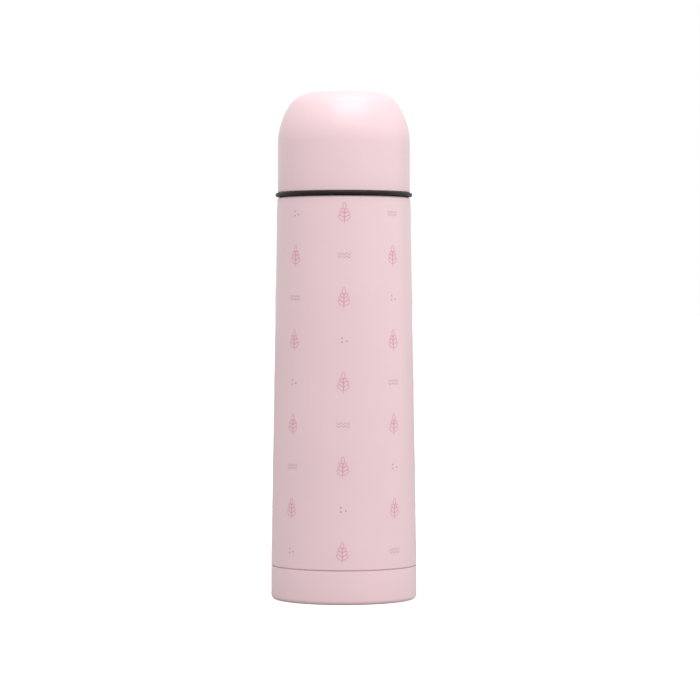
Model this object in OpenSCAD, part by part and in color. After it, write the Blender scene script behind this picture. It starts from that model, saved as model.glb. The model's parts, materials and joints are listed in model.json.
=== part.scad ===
// Insulated drinking flask with a screw-on cup and a push-button stopper.
// Origin at the centre of the resting face, +Z up, millimetres.

/* [Flask body] */
// Outer diameter of the base band
base_d = 69; // [68:0.1:72]
// Outer diameter of the body just below the collar
shoulder_d = 63.1; // [62.8:0.1:64.4]
// Height of the base band
base_h = 16; // [14:0.5:24]
// Height of the shoulder above the resting face
shoulder_z = 190.2; // [150:0.1:230]
// Sheet thickness of the outer shell and the base cap
shell_t = 0.6; // [0.5:0.05:0.7]
// Sheet thickness of the inner vessel
vessel_t = 0.5; // [0.4:0.05:0.6]
// Width of the evacuated space between the two walls
vacuum_gap = 2.6; // [2:0.1:3]

/* [Neck and collar] */
// Outer diameter of the steel neck
neck_d = 49.8; // [49.6:0.1:50]
// Height of the neck rim above the shoulder
neck_h = 14.8; // [14.4:0.1:16]
// Outer diameter of the collar's visible ring
ring_d = 64.8; // [64.6:0.1:68]
// Height of the collar's visible ring
ring_h = 1.7; // [1.5:0.1:2.4]

/* [Cup] */
// Outer diameter of the cup
cup_d = 62.6; // [62.4:0.1:63.4]
// Height of the cup from its rim to its crown
cup_h = 47.4; // [45:0.1:60]
// Radius of the bend between the cup's crown and its side
cup_corner_r = 13.2; // [12:0.1:14]
// Sheet thickness of the cup's steel shell
cup_shell_t = 0.5; // [0.4:0.05:0.6]
// Wall thickness of the cup's plastic liner
cup_liner_t = 1.85; // [1.7:0.05:1.9]
// Lift of the cup in one full turn
cup_lead = 8; // [7.6:0.1:8.4]

/* [Stopper] */
// Outer diameter of the stopper's head
head_d = 46.8; // [46:0.1:48]
// Height of the stopper's head above the neck rim
head_h = 12.7; // [12:0.1:14]
// Lift of the stopper in one full turn
stopper_lead = 4; // [3.8:0.1:4.4]
// Diameter of the push button
button_d = 24.8; // [24:0.1:26]
// Height of the button above the head when it is released
button_stand = 4; // [3.7:0.1:4.5]
// Travel of the button
button_travel = 3.5; // [2.5:0.1:3.5]
// Number of grip flutes around the head
flute_count = 24; // [16:1:30]

/* [Hidden] */
$fn = 96;

// Finishes
pink = "#e4c5ca";
black = "#26252a";
grey = "#8d8f94";
steel = "#c9cbce";
silicone = "#e9e9e6";

// Clearances: loose between pieces that move, snug between pieces that stay together
loose = 0.15;
snug = 0.1;

// Outer shell and base cap
base_r = base_d / 2;
shoulder_r = shoulder_d / 2;
seam_h = 0.5;
seam_top = base_h + seam_h / 2;
skirt_r = base_r - shell_t - loose;
skirt_z = 5;
shoulder_round = 1.2;
edge_break = 0.25;
cap_corner_r = 2;
foot_in_r = 27;
foot_rise = 1.2;

// Neck
neck_r = neck_d / 2;
neck_fillet = 1;
rim_z = shoulder_z + neck_h;
lip_h = 0.5;

// Inner vessel
vessel_gap = shell_t + vacuum_gap;
vessel_z = 11;
vessel_bend = 9;
vessel_top = shoulder_z - shell_t - 2.2;
vessel_shoulder = 3.5;
bore_r = neck_r - 2.5;
seat_r = bore_r - 1.3;
seat_top = shoulder_z + 2.3;
seat_slope = 0.8;
seat_fillet = 2.5;

// Bottom plate, getter and seal-off
plate_z = 7;
plate_t = 0.8;
plate_rise = 1;
dimple_r = 5;
port_r = 1.2;
getter_r = 4;
getter_h = 1.2;
getter_x = 14;
clip_t = 0.4;
clip_w = 5;

// Reflective foil
foil_t = 0.15;
foil_z = 24;
foil_top = vessel_top - 12;

// Collar
ring_r = ring_d / 2;
ring_gap = 0.4;
ring_z = shoulder_z + ring_gap;
ring_top = ring_z + ring_h;
ring_round = 0.6;
collar_seal_round = 0.12;
collar_in_r = neck_r + snug;
collar_root_r = collar_in_r + 1.6;
collar_crest_r = collar_root_r + 1.5;
collar_top = rim_z - 0.4;
groove_r = 30.5;

// Cup
cup_gap = 0.3;
cup_r = cup_d / 2;
cup_z = ring_top + cup_gap;
cup_top = cup_z + cup_h;
crown_flat_r = cup_r - 16.43;
crown_a = 87.5;
side_a = 32.5;
crown_r = cup_corner_r + crown_flat_r / cos(crown_a);
crown_cz = cup_top - crown_r;
corner_cz = crown_cz + crown_flat_r * tan(crown_a);
side_r = (cup_r - crown_flat_r - cup_corner_r * cos(side_a)) / (1 - cos(side_a));
side_cr = crown_flat_r - (side_r - cup_corner_r) * cos(side_a);
side_cz = corner_cz - (side_r - cup_corner_r) * sin(side_a);
liner_gap = cup_shell_t + loose;
liner_in = liner_gap + cup_liner_t;
liner_z = cup_z + 0.6;
liner_root_r = cup_r - liner_in;
liner_crest_r = liner_root_r - 1.6;

// Threads
bury = 0.3;
thread_base_w = 2.1;
thread_crest_w = 0.95;
thread_step_a = 8;
thread_fade = 0.1;
cup_starts = 2;
cup_thread_z = ring_top + 2.9;
cup_thread_turns = 0.85;
stopper_thread_z = seat_top + 1.4;
stopper_thread_turns = 1.75;
bore_crest_r = bore_r - 1.2;

// Stopper
head_r = head_d / 2;
skin_r = bore_crest_r - 0.6;
stopper_crest_r = bore_r - 0.5;
stopper_wall = 2;
floor_z = rim_z - 17.5;
floor_t = 1.8;
valve_hole_r = 9;
gasket_r = seat_r - loose;
gasket_in_r = skin_r - 1.2;
gasket_z = floor_z + 1.15;
gasket_h = 3.3;
flange_z = rim_z + 0.4;
flange_h = 2.1;
spigot_r = head_r - 2;
spigot_t = 1.5;
spigot_h = 3.5;
rib_t = 1.8;
rib_z = floor_z + 9;
rib_top = flange_z - 1.9;
guide_r = 6.2;
guide_top = rib_top + 3;

// Stopper cover
cover_z = flange_z + flange_h + loose;
deck_z = rim_z + head_h;
deck_t = 1.8;
cover_round = 2.5;
cover_draft = 0.6;
slot_w = 16;
slot_h = 4.6;
slot_z = cover_z + 1.4;
flute_r = 1.5;
flute_z = cover_z + 3;

// Button and valve
button_r = button_d / 2;
button_wall = 1.4;
button_round = 1;
button_top = deck_z + button_stand;
button_plate = 1.9;
button_lip_r = button_r + 1.4;
button_lip_z = deck_z - 8.4;
button_lip_h = 1.8;
sleeve_r = button_r + 0.2;
sleeve_out_r = sleeve_r + 1.7;
sleeve_z = button_lip_z + button_lip_h + 0.2;
stem_r = 4;
guide_bore_r = stem_r + 0.1;
stem_top = button_top - 4.2;
boss_r = 6;
boss_z = guide_top + button_travel + 0.6;
hub_r = 5.8;
hub_h = 2.8;
disc_r = 11.6;
disc_h = 1.8;
seal_h = 2.3;
seal_gap = 0.15;
disc_top = floor_z - seal_gap - seal_h - snug;
disc_z = disc_top - disc_h;

// Spring
wire_r = 0.45;
wire_sides = 8;
coil_r = 8;
coil_step_a = 15;
coil_turns = 6;
dead_turns = 1;
spring_z = rib_top + snug;
spring_top = button_top - button_plate - snug;

// Radius of the tapered body at a height
function body_r(z) =
    base_r + (shoulder_r - base_r) * (z - base_h) / (shoulder_z - base_h);

// Points along an arc in the radius and height plane
function arc(cr, cz, r, from, to, n = 8) =
    [for (i = [0:n]) let (a = from + (to - from) * i / n) [cr + r * cos(a), cz + r * sin(a)]];

function reversed(list) = [for (i = [len(list) - 1:-1:0]) list[i]];

// Outline of a ring's section with all four corners rounded
function round_section(r_in, r_out, z_low, z_high, c) = concat(
    arc(r_out - c, z_low + c, c, -90, 0, 5),
    arc(r_out - c, z_high - c, c, 0, 90, 5),
    arc(r_in + c, z_high - c, c, 90, 180, 5),
    arc(r_in + c, z_low + c, c, 180, 270, 5)
);

// Side of the cup, set in from its outer face, from the crown to a low edge
function cup_side(inset, z_low) = concat(
    arc(0, crown_cz, crown_r - inset, 90, crown_a, 3),
    arc(crown_flat_r, corner_cz, cup_corner_r - inset, crown_a, side_a, 16),
    arc(side_cr, side_cz, side_r - inset, side_a, 0, 10),
    [[cup_r - inset, z_low]]
);

// A point at a radius, an angle and a height
function polar(r, a, z) = [r * cos(a), r * sin(a), z];

module revolve(outline) {
    rotate_extrude() polygon(outline);
}

module tube(r_in, r_out, z_low, z_high) {
    difference() {
        translate([0, 0, z_low]) cylinder(r = r_out, h = z_high - z_low);
        translate([0, 0, z_low - 1]) cylinder(r = r_in, h = z_high - z_low + 2);
    }
}

// Closed skin over a row of rings that all have the same number of points
module skin(rings) {
    m = len(rings[0]);
    last = len(rings) - 1;
    sides = [
        for (i = [0:last - 1], j = [0:m - 1])
            let (k = (j + 1) % m, a = m * i, b = m * (i + 1))
                each [[a + j, a + k, b + k], [a + j, b + k, b + j]]
    ];
    start_cap = [for (j = [m - 1:-1:0]) j];
    end_cap = [for (j = [0:m - 1]) m * last + j];
    polyhedron(points = [for (ring = rings) each ring], faces = concat(sides, [start_cap, end_cap]));
}

// Helical ridge with a trapezoid section that fades out at both ends.
// It points outward when crest_r is the larger radius, and inward when it is the smaller.
module ridge(root_r, crest_r, z, lead, turns) {
    way = crest_r > root_r ? 1 : -1;
    steps = ceil(turns * 360 / thread_step_a);
    skin([
        for (i = [0:steps])
            let (
                t = turns * i / steps,
                a = 360 * t,
                h = z + lead * t,
                rise = max(0.1, min(1, t / thread_fade, (turns - t) / thread_fade)),
                deep_r = root_r - way * bury,
                tip_r = root_r + (crest_r - root_r) * rise,
                r_low = min(deep_r, tip_r),
                r_high = max(deep_r, tip_r),
                w_low = way > 0 ? thread_base_w : thread_crest_w,
                w_high = way > 0 ? thread_crest_w : thread_base_w
            )
                [
                    polar(r_low, a, h - w_low / 2),
                    polar(r_high, a, h - w_high / 2),
                    polar(r_high, a, h + w_high / 2),
                    polar(r_low, a, h + w_low / 2)
                ]
    ]);
}

// Tapered steel wall with a stepped-in skirt below and a rolled neck above
module outer_shell() {
    t = shell_t;
    color(pink) revolve(concat(
        [
            [skirt_r - t, skirt_z],
            [skirt_r, skirt_z],
            [skirt_r, seam_top],
            [body_r(seam_top) - edge_break, seam_top],
            [body_r(seam_top), seam_top + edge_break]
        ],
        arc(shoulder_r - shoulder_round, shoulder_z - shoulder_round, shoulder_round, 0, 90),
        arc(neck_r + neck_fillet, shoulder_z + neck_fillet, neck_fillet, 270, 180),
        [
            [neck_r, rim_z - lip_h - 0.05],
            [neck_r - t, rim_z - lip_h - 0.05]
        ],
        arc(neck_r + neck_fillet, shoulder_z + neck_fillet, neck_fillet + t, 180, 270),
        arc(shoulder_r - shoulder_round, shoulder_z - shoulder_round, shoulder_round - t, 90, 0),
        [
            [body_r(seam_top) - t, seam_top + t],
            [skirt_r - t, seam_top + t]
        ]
    ));
}

// Liquid vessel: closed at the bottom, a sealing seat and a thread in its neck, a lip at its rim
module inner_vessel() {
    t = vessel_t;
    low_r = body_r(vessel_z + vessel_bend) - vessel_gap;
    high_r = body_r(vessel_top - vessel_shoulder) - vessel_gap;
    low_c = [low_r - vessel_bend, vessel_z + vessel_bend];
    high_c = [high_r - vessel_shoulder, vessel_top - vessel_shoulder];
    seat_c = [seat_r + t + seat_fillet, vessel_top + seat_fillet];
    color(steel) {
        union() {
            revolve(concat(
                [[0, vessel_z]],
                arc(low_c[0], low_c[1], vessel_bend, 270, 360, 10),
                arc(high_c[0], high_c[1], vessel_shoulder, 0, 90),
                arc(seat_c[0], seat_c[1], seat_fillet, 270, 180, 6),
                [
                    [seat_r + t, seat_top],
                    [bore_r + t, seat_top + seat_slope],
                    [bore_r + t, rim_z - lip_h],
                    [neck_r, rim_z - lip_h],
                    [neck_r, rim_z - lip_h / 2],
                    [neck_r - lip_h / 2, rim_z],
                    [bore_r + lip_h / 2, rim_z],
                    [bore_r, rim_z - lip_h / 2],
                    [bore_r, seat_top + seat_slope],
                    [seat_r, seat_top]
                ],
                arc(seat_c[0], seat_c[1], seat_fillet + t, 180, 270, 6),
                arc(high_c[0], high_c[1], vessel_shoulder - t, 90, 0),
                arc(low_c[0], low_c[1], vessel_bend - t, 360, 270, 10),
                [[0, vessel_z + t]]
            ));
            ridge(bore_r, bore_crest_r, stopper_thread_z + stopper_lead / 2, stopper_lead,
                stopper_thread_turns);
        }
    }
}

// Thin metal foil wrapped around the vessel inside the vacuum
module reflective_foil() {
    low_r = body_r(foil_z) - vessel_gap + snug;
    high_r = body_r(foil_top) - vessel_gap + snug;
    color("#d9a27a") revolve([
        [low_r, foil_z],
        [low_r + foil_t, foil_z],
        [high_r + foil_t, foil_top],
        [high_r, foil_top]
    ]);
}

// Steel disc that closes the shell, with a raised centre around the seal-off port
module bottom_plate() {
    rim_r = skirt_r - shell_t - 0.05;
    t = plate_t;
    color(steel) revolve([
        [port_r, plate_z + plate_rise],
        [dimple_r, plate_z + plate_rise],
        [dimple_r + plate_rise, plate_z],
        [rim_r - t, plate_z],
        [rim_r - t, skirt_z],
        [rim_r, skirt_z],
        [rim_r, plate_z + t],
        [dimple_r + plate_rise - 0.3, plate_z + t],
        [dimple_r - 0.3, plate_z + plate_rise + t],
        [port_r, plate_z + plate_rise + t]
    ]);
}

// Sealing bead that fills the port from below
module vacuum_seal() {
    bead_r = 3;
    bead_h = 0.8;
    bead_z = plate_z + plate_rise - 0.05 - bead_h;
    color("#6f7a80") union() {
        revolve(concat(
            [[0, bead_z]],
            arc(bead_r - 0.5, bead_z + 0.5, 0.5, 270, 360, 4),
            [[bead_r, bead_z + bead_h], [0, bead_z + bead_h]]
        ));
        translate([0, 0, bead_z]) cylinder(r = port_r - 0.05, h = bead_h + plate_t);
    }
}

// Gas-absorbing tablet on the bottom plate
module getter() {
    color("#55585c") translate([getter_x, 0, plate_z + plate_t + 0.05])
        cylinder(r = getter_r, h = getter_h);
}

// Bent strip that holds the tablet down, with a foot on each side
module getter_clip() {
    z = plate_z + plate_t + 0.05;
    top = z + getter_h + 0.1;
    leg_x = getter_r + 0.3;
    foot_l = 3;
    color(steel) translate([getter_x, clip_w / 2, 0]) rotate([90, 0, 0])
        linear_extrude(clip_w) polygon([
            [-leg_x - foot_l, z],
            [-leg_x, z],
            [-leg_x, top],
            [leg_x, top],
            [leg_x, z],
            [leg_x + foot_l, z],
            [leg_x + foot_l, z + clip_t],
            [leg_x + clip_t, z + clip_t],
            [leg_x + clip_t, top + clip_t],
            [-leg_x - clip_t, top + clip_t],
            [-leg_x - clip_t, z + clip_t],
            [-leg_x - foot_l, z + clip_t]
        ]);
}

// Pressed steel cap over the bottom end, with a foot ring and a raised middle
module base_cap() {
    t = shell_t;
    wall_top = base_h - seam_h / 2;
    r = base_r;
    color(pink) difference() {
        translate([0, 0, cap_corner_r]) cylinder(r = r, h = wall_top - cap_corner_r);
        translate([0, 0, cap_corner_r - 1]) cylinder(r = r - t, h = wall_top);
    }
    color(pink) revolve(concat(
        [[0, foot_rise], [foot_in_r - foot_rise, foot_rise], [foot_in_r, 0]],
        arc(r - cap_corner_r, cap_corner_r, cap_corner_r, 270, 360, 6),
        arc(r - cap_corner_r, cap_corner_r, cap_corner_r - t, 360, 270, 6),
        [
            [foot_in_r + t / 2, t],
            [foot_in_r - foot_rise + t / 2, foot_rise + t],
            [0, foot_rise + t]
        ]
    ));
}

// Plastic collar: a rounded ring that shows, and a threaded sleeve over the steel neck
module neck_collar() {
    sleeve_low = shoulder_z + neck_fillet + snug;
    color(black) union() {
        revolve(concat(
            [[collar_in_r, sleeve_low + 0.4], [collar_in_r + 0.9, ring_z]],
            arc(ring_r - ring_round, ring_z + ring_round, ring_round, -90, 0, 5),
            arc(ring_r - ring_round, ring_top - ring_round, ring_round, 0, 90, 5),
            [
                [collar_root_r, ring_top],
                [collar_root_r, collar_top - 0.5],
                [collar_root_r - 0.5, collar_top],
                [collar_in_r, collar_top]
            ]
        ));
        for (i = [0:cup_starts - 1]) rotate(i * 360 / cup_starts)
            ridge(collar_root_r, collar_crest_r, cup_thread_z, cup_lead, cup_thread_turns);
    }
}

// Soft ring in the groove between the shoulder and the collar
module collar_seal() {
    color(black) revolve(round_section(collar_in_r + 1.6, groove_r, shoulder_z + 0.05,
        ring_z - 0.05, collar_seal_round));
}

// Threaded stopper body: valve floor, skirt, stem guide on three ribs, pouring flange and spigot
module stopper_body() {
    in_r = skin_r - stopper_wall;
    seal_low = gasket_z - snug;
    seal_high = gasket_z + gasket_h + snug;
    color(grey) difference() {
        union() {
            revolve([
                [valve_hole_r, floor_z],
                [skin_r - 0.6, floor_z],
                [skin_r - 0.3, floor_z + 0.3],
                [skin_r - 0.3, seal_low],
                [gasket_in_r - snug, seal_low],
                [gasket_in_r - snug, seal_high],
                [skin_r, seal_high],
                [skin_r, flange_z],
                [head_r - 0.5, flange_z],
                [head_r, flange_z + 0.5],
                [head_r, flange_z + flange_h],
                [spigot_r, flange_z + flange_h],
                [spigot_r, flange_z + flange_h + spigot_h],
                [spigot_r - spigot_t, flange_z + flange_h + spigot_h],
                [spigot_r - spigot_t, flange_z + flange_h - 2],
                [in_r, flange_z - 2],
                [in_r, seal_high + 1.5],
                [gasket_in_r - 1.5, seal_high],
                [gasket_in_r - 1.5, floor_z + floor_t],
                [valve_hole_r, floor_z + floor_t]
            ]);
            ridge(skin_r, stopper_crest_r, stopper_thread_z, stopper_lead, stopper_thread_turns);
            tube(guide_bore_r, guide_r, rib_z, guide_top);
            for (i = [0:2]) rotate(90 + 120 * i)
                translate([guide_r - 0.5, -rib_t / 2, rib_z])
                    cube([in_r - guide_r + 1, rib_t, rib_top - rib_z]);
        }
        for (side = [-1, 1])
            translate([-slot_w / 2, side * spigot_r - 3, flange_z + flange_h])
                cube([slot_w, 6, spigot_h + 1]);
    }
}

// Cover of the head: pouring slots front and back, grip flutes, a sleeve that guides the button
module stopper_cover() {
    top_r = head_r - cover_draft;
    in_r = spigot_r + snug;
    color(grey) difference() {
        revolve(concat(
            [[in_r, cover_z], [head_r, cover_z]],
            arc(top_r - cover_round, deck_z - cover_round, cover_round, 0, 90, 6),
            [
                [sleeve_r + 0.4, deck_z],
                [sleeve_r, deck_z - 0.4],
                [sleeve_r, sleeve_z],
                [sleeve_out_r, sleeve_z],
                [sleeve_out_r, deck_z - deck_t],
                [in_r - 1, deck_z - deck_t],
                [in_r, deck_z - deck_t - 1]
            ]
        ));
        for (side = [-1, 1])
            translate([-slot_w / 2, side * head_r - 4, slot_z]) cube([slot_w, 8, slot_h]);
        for (i = [0:flute_count - 1])
            let (a = 360 * i / flute_count)
                if (abs(cos(a)) > 0.5)
                    translate(polar(head_r + 0.7, a, flute_z)) cylinder(r = flute_r, h = head_h, $fn = 24);
    }
}

// Soft ring in the groove at the stopper's lower end
module stopper_gasket() {
    mid_z = gasket_z + gasket_h / 2;
    lip = 0.5;
    color(silicone) revolve([
        [gasket_in_r, gasket_z],
        [gasket_r - lip, gasket_z],
        [gasket_r, gasket_z + lip],
        [gasket_r - lip, mid_z],
        [gasket_r, gasket_z + gasket_h - lip],
        [gasket_r - lip, gasket_z + gasket_h],
        [gasket_in_r, gasket_z + gasket_h]
    ]);
}

// Button: domed top, side wall with a retaining lip, boss that holds the stem
module push_button() {
    socket_r = stem_r + 0.05;
    under = button_top - button_plate;
    crown = 0.4;
    color(black) union() {
        revolve(concat(
            [
                [button_r - button_wall, button_lip_z],
                [button_lip_r, button_lip_z],
                [button_lip_r, button_lip_z + button_lip_h],
                [button_r, button_lip_z + button_lip_h]
            ],
            arc(button_r - button_round, button_top - crown - button_round, button_round, 0, 80, 5),
            [[0, button_top], [0, under], [button_r - button_wall, under]]
        ));
        difference() {
            translate([0, 0, boss_z]) cylinder(r = boss_r, h = under - boss_z + 0.5);
            translate([0, 0, boss_z - 1]) cylinder(r = socket_r, h = stem_top - boss_z + 1.1);
        }
    }
}

// Valve: flat disc, hub that centres its seal, long stem up to the button
module valve_plunger() {
    color(grey) union() {
        revolve([
            [0, disc_z],
            [disc_r - 0.6, disc_z],
            [disc_r, disc_z + 0.6],
            [disc_r, disc_top],
            [hub_r, disc_top],
            [hub_r, disc_top + hub_h],
            [0, disc_top + hub_h]
        ]);
        translate([0, 0, disc_top]) cylinder(r = stem_r, h = stem_top - disc_top);
    }
}

// Soft washer between the valve disc and the stopper's floor
module valve_seal() {
    z = disc_top + snug;
    color(silicone) revolve(concat(
        [[hub_r + snug, z]],
        arc(disc_r - 0.6, z + 0.4, 0.4, -90, 0, 4),
        [
            [disc_r - 0.2, z + 1.4],
            [disc_r - 0.7, z + seal_h],
            [valve_hole_r + 0.7, z + seal_h],
            [valve_hole_r + 0.2, z + 1.4],
            [hub_r + snug, z + 1.4]
        ]
    ));
}

// Compression spring with closed end turns, between the ribs and the button
module valve_spring() {
    dead_pitch = 2.1 * wire_r;
    free_h = spring_top - spring_z - 2 * wire_r;
    live_h = free_h - 2 * dead_turns * dead_pitch;
    steps = coil_turns * 360 / coil_step_a;
    color(steel) skin([
        for (i = [0:steps])
            let (
                t = coil_turns * i / steps,
                low = min(t, dead_turns),
                high = max(0, t - coil_turns + dead_turns),
                live = (t - low - high) / (coil_turns - 2 * dead_turns),
                z = spring_z + wire_r + dead_pitch * (low + high) + live_h * live
            )
                [
                    for (j = [0:wire_sides - 1])
                        let (b = 360 * j / wire_sides)
                            polar(coil_r + wire_r * cos(b), 360 * t, z + wire_r * sin(b))
                ]
    ]);
}

// Domed steel outside of the cup
module cup_shell() {
    color(pink) revolve(concat(cup_side(0, cup_z), reversed(cup_side(cup_shell_t, cup_z))));
}

// Plastic inside of the cup with the thread that takes the collar
module cup_liner() {
    color(black) union() {
        revolve(concat(cup_side(liner_gap, liner_z), reversed(cup_side(liner_in, liner_z))));
        for (i = [0:cup_starts - 1]) rotate(i * 360 / cup_starts - 90)
            ridge(liner_root_r, liner_crest_r, cup_thread_z, cup_lead, cup_thread_turns);
    }
}

// Soft ring between the cup's liner and the collar
module cup_seal() {
    color(silicone) revolve(round_section(liner_root_r + 0.1, cup_r - liner_gap - 0.1,
        ring_top + 0.1, liner_z - 0.1, 0.3));
}

outer_shell();
inner_vessel();
reflective_foil();
bottom_plate();
vacuum_seal();
getter();
getter_clip();
base_cap();
neck_collar();
collar_seal();
stopper_body();
stopper_cover();
stopper_gasket();
push_button();
valve_plunger();
valve_seal();
valve_spring();
cup_shell();
cup_liner();
cup_seal();
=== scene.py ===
"""Looks of an insulated steel flask with a screw-on cup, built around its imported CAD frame."""

import json
import math

import bmesh
import bpy
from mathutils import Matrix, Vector, noise


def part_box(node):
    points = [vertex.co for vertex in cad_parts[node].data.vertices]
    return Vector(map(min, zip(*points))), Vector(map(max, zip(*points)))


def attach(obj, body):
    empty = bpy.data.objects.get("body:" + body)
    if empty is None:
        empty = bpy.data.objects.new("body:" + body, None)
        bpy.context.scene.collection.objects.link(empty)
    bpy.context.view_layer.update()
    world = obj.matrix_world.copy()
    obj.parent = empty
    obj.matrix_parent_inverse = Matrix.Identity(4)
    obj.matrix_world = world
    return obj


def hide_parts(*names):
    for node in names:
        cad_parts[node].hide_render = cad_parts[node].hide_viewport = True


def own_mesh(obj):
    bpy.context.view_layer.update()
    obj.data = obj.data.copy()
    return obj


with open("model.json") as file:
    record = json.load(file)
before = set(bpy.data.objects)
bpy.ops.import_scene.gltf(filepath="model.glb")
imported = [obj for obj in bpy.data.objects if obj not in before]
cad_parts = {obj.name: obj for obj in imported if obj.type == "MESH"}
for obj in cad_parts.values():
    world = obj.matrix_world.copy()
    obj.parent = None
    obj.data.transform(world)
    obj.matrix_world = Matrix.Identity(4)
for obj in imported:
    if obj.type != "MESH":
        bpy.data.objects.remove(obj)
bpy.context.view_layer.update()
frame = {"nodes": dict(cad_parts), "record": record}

MM = 0.001
SEGMENTS = 192          # round the flask's axis
ARC_STEP = math.radians(9)   # along a rounded corner of an outline
SHARP = math.radians(38)     # edges steeper than this stay crisp


# ---------------------------------------------------------------- measuring the frame

def low(node):
    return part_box(node)[0].z


def high(node):
    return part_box(node)[1].z


def outer_radius(node):
    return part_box(node)[1].y


def radii_at(node, z):
    """Every radius at which the node's mesh edges cross a height."""
    mesh = frame["nodes"][node].data
    found = []
    for edge in mesh.edges:
        a, b = (mesh.vertices[i].co for i in edge.vertices)
        if (a.z - z) * (b.z - z) < 0:
            p = a.lerp(b, (z - a.z) / (b.z - a.z))
            found.append(math.hypot(p.x, p.y))
    return found


SHELL_LOW_Z = low("outer_shell") + 20 * MM
SHELL_HIGH_Z = high("outer_shell") - 24 * MM
SHELL_LOW_R = max(radii_at("outer_shell", SHELL_LOW_Z))
SHELL_HIGH_R = max(radii_at("outer_shell", SHELL_HIGH_Z))


def shell_radius(z):
    """Outer radius of the tapered body at a height."""
    t = (z - SHELL_LOW_Z) / (SHELL_HIGH_Z - SHELL_LOW_Z)
    return SHELL_LOW_R + (SHELL_HIGH_R - SHELL_LOW_R) * t


# ---------------------------------------------------------------- mesh helpers

def rounded(corners):
    """Turns corners (r, z, rounding), in metres, into a closed outline with an arc at each one."""
    points = []
    count = len(corners)
    for i, (r, z, size) in enumerate(corners):
        here = Vector((r, z))
        before = Vector(corners[i - 1][:2]) - here
        after = Vector(corners[(i + 1) % count][:2]) - here
        if size <= 0 or before.length < 1e-9 or after.length < 1e-9:
            points.append(here)
            continue
        half = before.angle(after) / 2
        reach = min(size / math.tan(half), before.length * 0.49, after.length * 0.49)
        size = reach * math.tan(half)
        middle = here + (before.normalized() + after.normalized()).normalized() * (size / math.sin(half))
        start = here + before.normalized() * reach - middle
        end = here + after.normalized() * reach - middle
        turn = start.angle_signed(end)
        steps = max(2, math.ceil(abs(turn) / ARC_STEP))
        for k in range(steps + 1):
            a = -turn * k / steps
            spin = Vector((
                start.x * math.cos(a) - start.y * math.sin(a),
                start.x * math.sin(a) + start.y * math.cos(a),
            ))
            points.append(middle + spin)
    return points


def divided(points, longest):
    """Adds points along an outline, so that no stretch is longer than a length."""
    result = []
    for i, p in enumerate(points):
        q = points[(i + 1) % len(points)]
        parts = max(1, math.ceil((q - p).length / longest))
        result.extend(p.lerp(q, k / parts) for k in range(parts))
    return result


def lathe(outline, segments=SEGMENTS, shape=None):
    """Vertices and faces of an outline turned about Z. shape(r, a, z) may change a radius."""
    verts, rings = [], []
    for r, z in outline:
        if r < 1e-7:
            rings.append([len(verts)])
            verts.append((0, 0, z))
            continue
        rings.append(range(len(verts), len(verts) + segments))
        for k in range(segments):
            a = math.tau * k / segments
            s = shape(r, a, z) if shape else r
            verts.append((s * math.cos(a), s * math.sin(a), z))
    faces = []
    for i, ring in enumerate(rings):
        other = rings[(i + 1) % len(rings)]
        if len(ring) == 1 and len(other) == 1:
            continue
        for k in range(segments):
            m = (k + 1) % segments
            if len(ring) == 1:
                faces.append((ring[0], other[m], other[k]))
            elif len(other) == 1:
                faces.append((ring[k], ring[m], other[0]))
            else:
                faces.append((ring[k], ring[m], other[m], other[k]))
    return verts, faces


def swept(path, across, section_points, radius):
    """A closed round bar along a path. across(i) gives the two directions of its section."""
    verts, faces = [], []
    for i, p in enumerate(path):
        u, v = across(i)
        for k in range(section_points):
            a = math.tau * k / section_points
            verts.append(p + (u * math.cos(a) + v * math.sin(a)) * radius)
    for i in range(len(path) - 1):
        for k in range(section_points):
            m = (k + 1) % section_points
            a, b = i * section_points, (i + 1) * section_points
            faces.append((a + k, a + m, b + m, b + k))
    faces.append(tuple(reversed(range(section_points))))
    last = (len(path) - 1) * section_points
    faces.append(tuple(range(last, last + section_points)))
    return verts, faces


def piece(name, parts, body, slot, stands_for=(), material=None):
    """One object from (verts, faces) parts, riding on a body, in its slot's finish by default."""
    mesh = bpy.data.meshes.new(name)
    obj = bpy.data.objects.new(name, mesh)
    bpy.context.scene.collection.objects.link(obj)
    bm = bmesh.new()
    for verts, faces in parts:
        made = [bm.verts.new(v) for v in verts]
        for face in faces:
            bm.faces.new([made[i] for i in face])
    bmesh.ops.recalc_face_normals(bm, faces=bm.faces)
    bm.to_mesh(mesh)
    bm.free()
    mesh.shade_smooth()
    mesh.set_sharp_from_angle(angle=SHARP)
    mesh.materials.append(material or FINISH[slot])
    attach(obj, body)
    if stands_for:
        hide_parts(*stands_for)
    return obj


def boolean(obj, cutters, operation):
    """Applies a boolean with closed (verts, faces) cutters to a piece."""
    for i, (verts, faces) in enumerate(cutters):
        mesh = bpy.data.meshes.new("cutter")
        mesh.from_pydata([tuple(v) for v in verts], [], [tuple(f) for f in faces])
        cutter = bpy.data.objects.new("cutter", mesh)
        bpy.context.scene.collection.objects.link(cutter)
        modifier = obj.modifiers.new(f"cut_{i}", "BOOLEAN")
        modifier.operation = operation
        modifier.solver = "EXACT"
        modifier.object = cutter
        bpy.context.view_layer.update()
        evaluated = obj.evaluated_get(bpy.context.evaluated_depsgraph_get())
        result = bpy.data.meshes.new_from_object(evaluated)
        obj.modifiers.remove(modifier)
        old = obj.data
        obj.data = result
        bpy.data.meshes.remove(old)
        bpy.data.objects.remove(cutter)
        bpy.data.meshes.remove(mesh)
    obj.data.set_sharp_from_angle(angle=SHARP)
    return obj


def block(x0, x1, y0, y1, z0, z1, turn=0.0):
    """Vertices and faces of a box, turned about Z."""
    c, s = math.cos(turn), math.sin(turn)
    verts = [
        (x * c - y * s, x * s + y * c, z)
        for z in (z0, z1) for x, y in ((x0, y0), (x1, y0), (x1, y1), (x0, y1))
    ]
    faces = [(3, 2, 1, 0), (4, 5, 6, 7), (0, 1, 5, 4), (1, 2, 6, 5), (2, 3, 7, 6), (3, 0, 4, 7)]
    return verts, faces


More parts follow.
